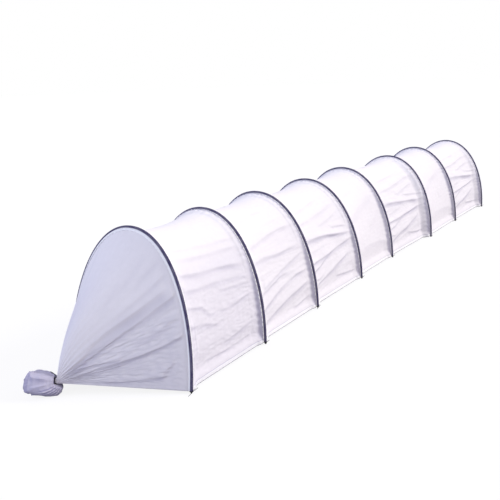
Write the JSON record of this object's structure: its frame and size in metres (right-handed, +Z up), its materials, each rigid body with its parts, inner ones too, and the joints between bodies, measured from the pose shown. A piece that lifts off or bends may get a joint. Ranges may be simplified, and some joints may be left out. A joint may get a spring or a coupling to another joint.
{
  "type": "row cover tunnel",
  "caption": "Low fleece tunnel over bent plastic pipe hoops sewn into sleeves, each end gathered and tied with cord; it folds up when the hoops are pushed together.",
  "frame": {"origin": "on the ground, under the middle of the whole tunnel's box", "axes": "+Z up; Y along the tunnel, with the front end (hoop 1) at -Y; X across it"},
  "size_m": [1.2882, 8.0546, 1.0667],
  "materials": {
    "pipe": "satin black",
    "plug": "satin black",
    "cover_fleece": "thin white non-woven, slightly see-through",
    "sleeve_fleece": "thin white non-woven, see-through over the pipe",
    "cord": "braided dark cord"
  },
  "bodies": {
    "station_1": {"hoop_1": "pipe", "sleeve_1": "sleeve_fleece", "end_plug_left_1": "plug", "end_plug_right_1": "plug", "cover_bay_1": "cover_fleece", "hem_cord_left_1": "cord", "hem_cord_right_1": "cord", "front_end_panel": "cover_fleece", "front_tail": "cover_fleece", "front_tie_cord": "cord"},
    "station_2": {"hoop_2": "pipe", "sleeve_2": "sleeve_fleece", "end_plug_left_2": "plug", "end_plug_right_2": "plug", "cover_bay_2": "cover_fleece", "hem_cord_left_2": "cord", "hem_cord_right_2": "cord"},
    "station_3": {"hoop_3": "pipe", "sleeve_3": "sleeve_fleece", "end_plug_left_3": "plug", "end_plug_right_3": "plug", "cover_bay_3": "cover_fleece", "hem_cord_left_3": "cord", "hem_cord_right_3": "cord"},
    "station_4": {"hoop_4": "pipe", "sleeve_4": "sleeve_fleece", "end_plug_left_4": "plug", "end_plug_right_4": "plug", "cover_bay_4": "cover_fleece", "hem_cord_left_4": "cord", "hem_cord_right_4": "cord"},
    "station_5": {"hoop_5": "pipe", "sleeve_5": "sleeve_fleece", "end_plug_left_5": "plug", "end_plug_right_5": "plug", "cover_bay_5": "cover_fleece", "hem_cord_left_5": "cord", "hem_cord_right_5": "cord"},
    "station_6": {"hoop_6": "pipe", "sleeve_6": "sleeve_fleece", "end_plug_left_6": "plug", "end_plug_right_6": "plug", "cover_bay_6": "cover_fleece", "hem_cord_left_6": "cord", "hem_cord_right_6": "cord"},
    "station_7": {"hoop_7": "pipe", "sleeve_7": "sleeve_fleece", "end_plug_left_7": "plug", "end_plug_right_7": "plug", "cover_bay_7": "cover_fleece", "hem_cord_left_7": "cord", "hem_cord_right_7": "cord"},
    "station_8": {"hoop_8": "pipe", "sleeve_8": "sleeve_fleece", "end_plug_left_8": "plug", "end_plug_right_8": "plug", "back_end_panel": "cover_fleece", "back_tail": "cover_fleece", "back_tie_cord": "cord"}
  },
  "joints": [
    {"name": "bay_1_fold", "type": "slide", "parent": "station_1", "child": "station_2", "axis": [0, 1, 0], "range_m": [-0.735, 0], "deforming": ["cover_bay_1", "hem_cord_left_1", "hem_cord_right_1"]},
    {"name": "bay_2_fold", "type": "slide", "parent": "station_2", "child": "station_3", "axis": [0, 1, 0], "range_m": [-0.73, 0], "deforming": ["cover_bay_2", "hem_cord_left_2", "hem_cord_right_2"]},
    {"name": "bay_3_fold", "type": "slide", "parent": "station_3", "child": "station_4", "axis": [0, 1, 0], "range_m": [-0.833, 0], "deforming": ["cover_bay_3", "hem_cord_left_3", "hem_cord_right_3"]},
    {"name": "bay_4_fold", "type": "slide", "parent": "station_4", "child": "station_5", "axis": [0, 1, 0], "range_m": [-0.743, 0], "deforming": ["cover_bay_4", "hem_cord_left_4", "hem_cord_right_4"]},
    {"name": "bay_5_fold", "type": "slide", "parent": "station_5", "child": "station_6", "axis": [0, 1, 0], "range_m": [-0.951, 0], "deforming": ["cover_bay_5", "hem_cord_left_5", "hem_cord_right_5"]},
    {"name": "bay_6_fold", "type": "slide", "parent": "station_6", "child": "station_7", "axis": [0, 1, 0], "range_m": [-0.797, 0], "deforming": ["cover_bay_6", "hem_cord_left_6", "hem_cord_right_6"]},
    {"name": "bay_7_fold", "type": "slide", "parent": "station_7", "child": "station_8", "axis": [0, 1, 0], "range_m": [-0.948, 0], "deforming": ["cover_bay_7", "hem_cord_left_7", "hem_cord_right_7"]}
  ]
}
